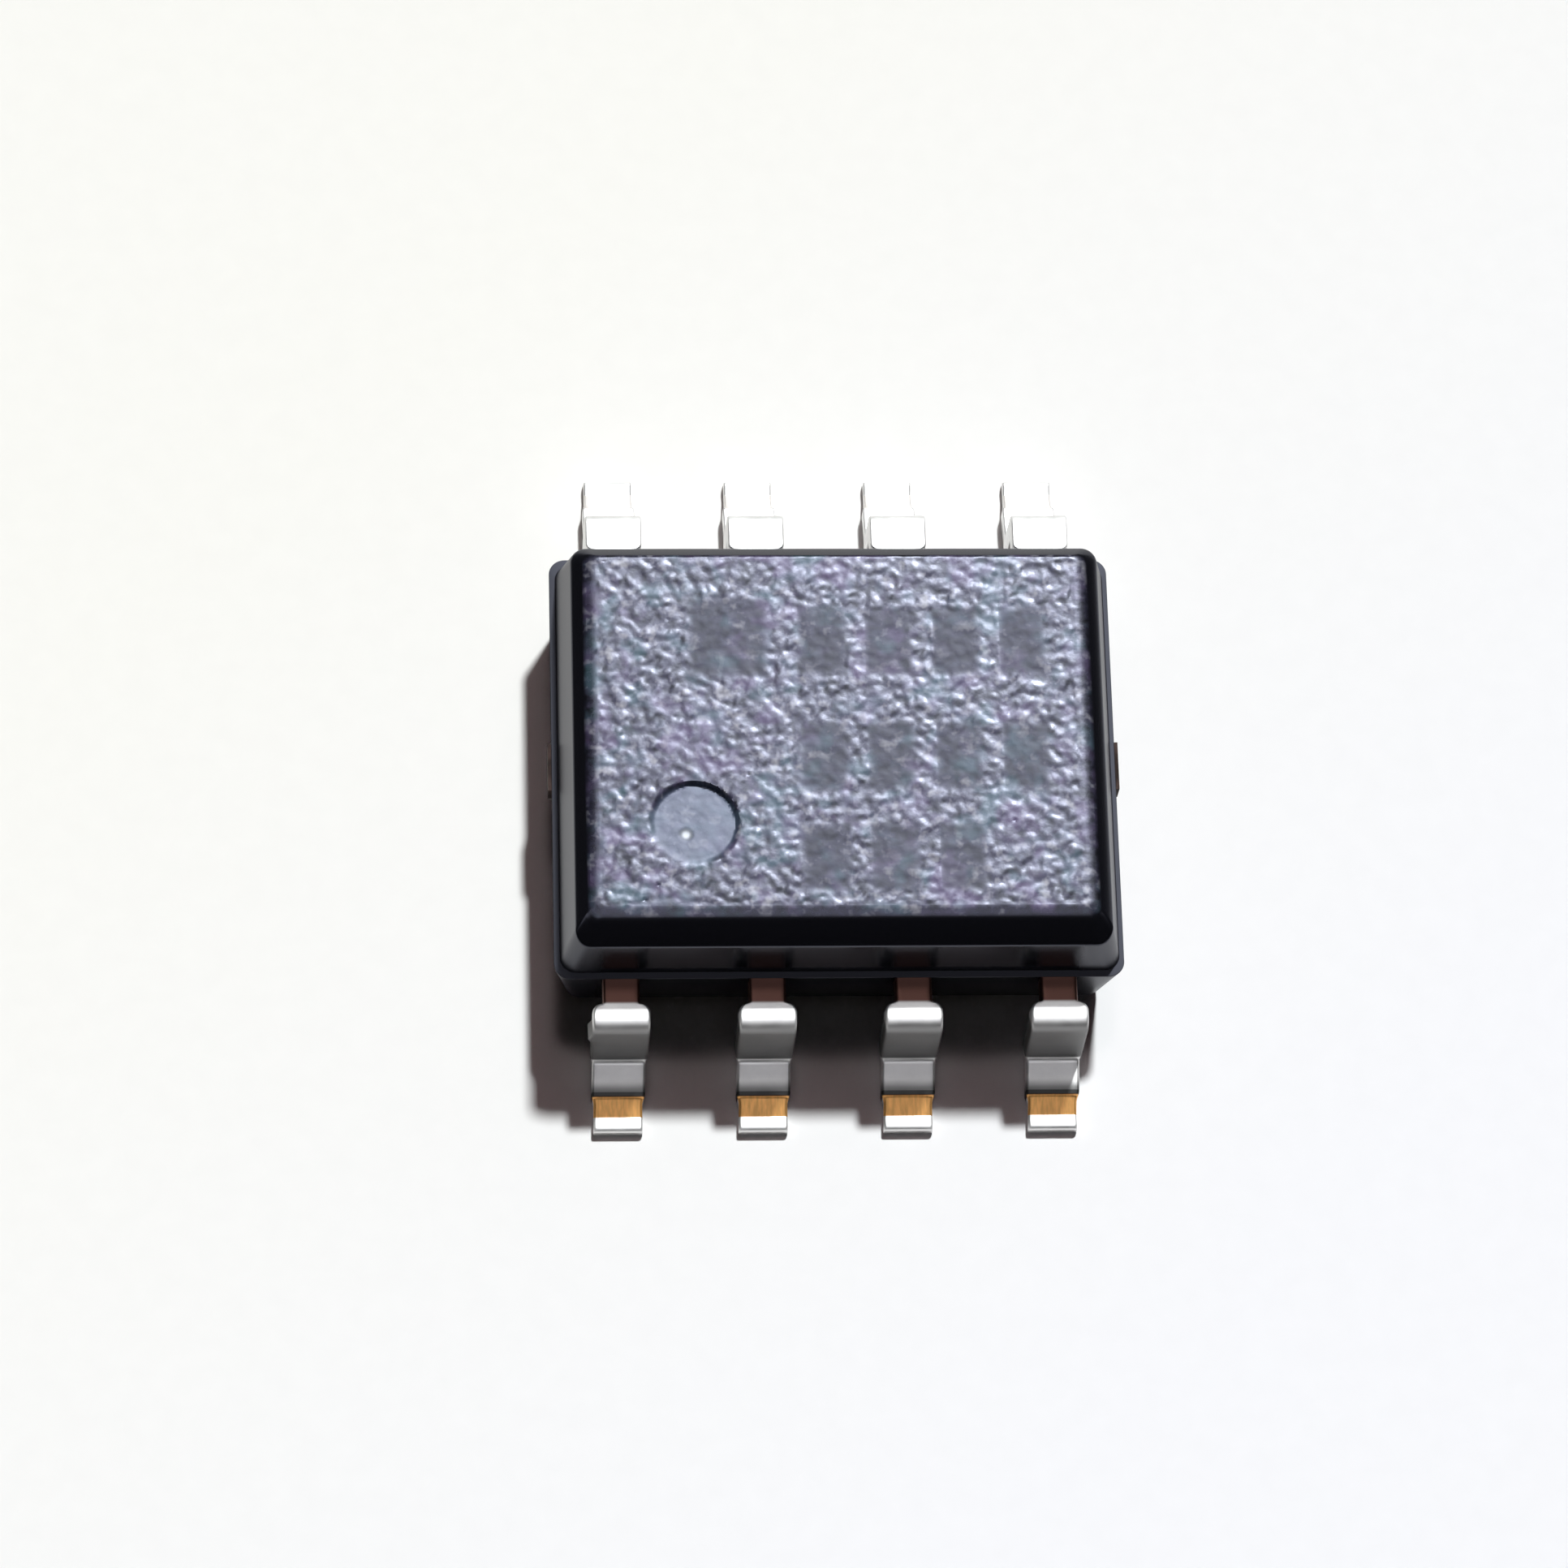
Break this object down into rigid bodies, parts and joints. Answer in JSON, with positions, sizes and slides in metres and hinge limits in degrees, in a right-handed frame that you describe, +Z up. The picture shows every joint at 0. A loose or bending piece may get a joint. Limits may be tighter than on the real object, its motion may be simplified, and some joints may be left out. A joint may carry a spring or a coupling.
{
  "type": "timer chip",
  "caption": "Surface-mount timer chip in a black moulded small-outline package with gull-wing leads, a bevelled front edge and a round pin-one dimple",
  "frame": {"origin": "in the seating plane under the feet, at the middle of the package", "axes": "X along the two rows of leads, Y across them with leads 1 to 4 at -Y, Z up out of the board"},
  "size_m": [0.005, 0.0062, 0.0017],
  "materials": {
    "mould": "satin",
    "tinned_lead": "satin",
    "bare_frame": "satin",
    "attach": "matte",
    "silicon": "polished",
    "gold_wire": "polished"
  },
  "bodies": {
    "root": {"mould_body": "mould", "lead_1": "tinned_lead", "lead_2": "tinned_lead", "lead_3": "tinned_lead", "lead_4": "tinned_lead", "lead_5": "tinned_lead", "lead_6": "tinned_lead", "lead_7": "tinned_lead", "lead_8": "tinned_lead", "die_pad": "bare_frame", "die_attach": "attach", "die": "silicon", "bond_wire_1": "gold_wire", "bond_wire_2": "gold_wire", "bond_wire_3": "gold_wire", "bond_wire_4": "gold_wire", "bond_wire_5": "gold_wire", "bond_wire_6": "gold_wire", "bond_wire_7": "gold_wire", "bond_wire_8": "gold_wire"}
  },
  "joints": []
}
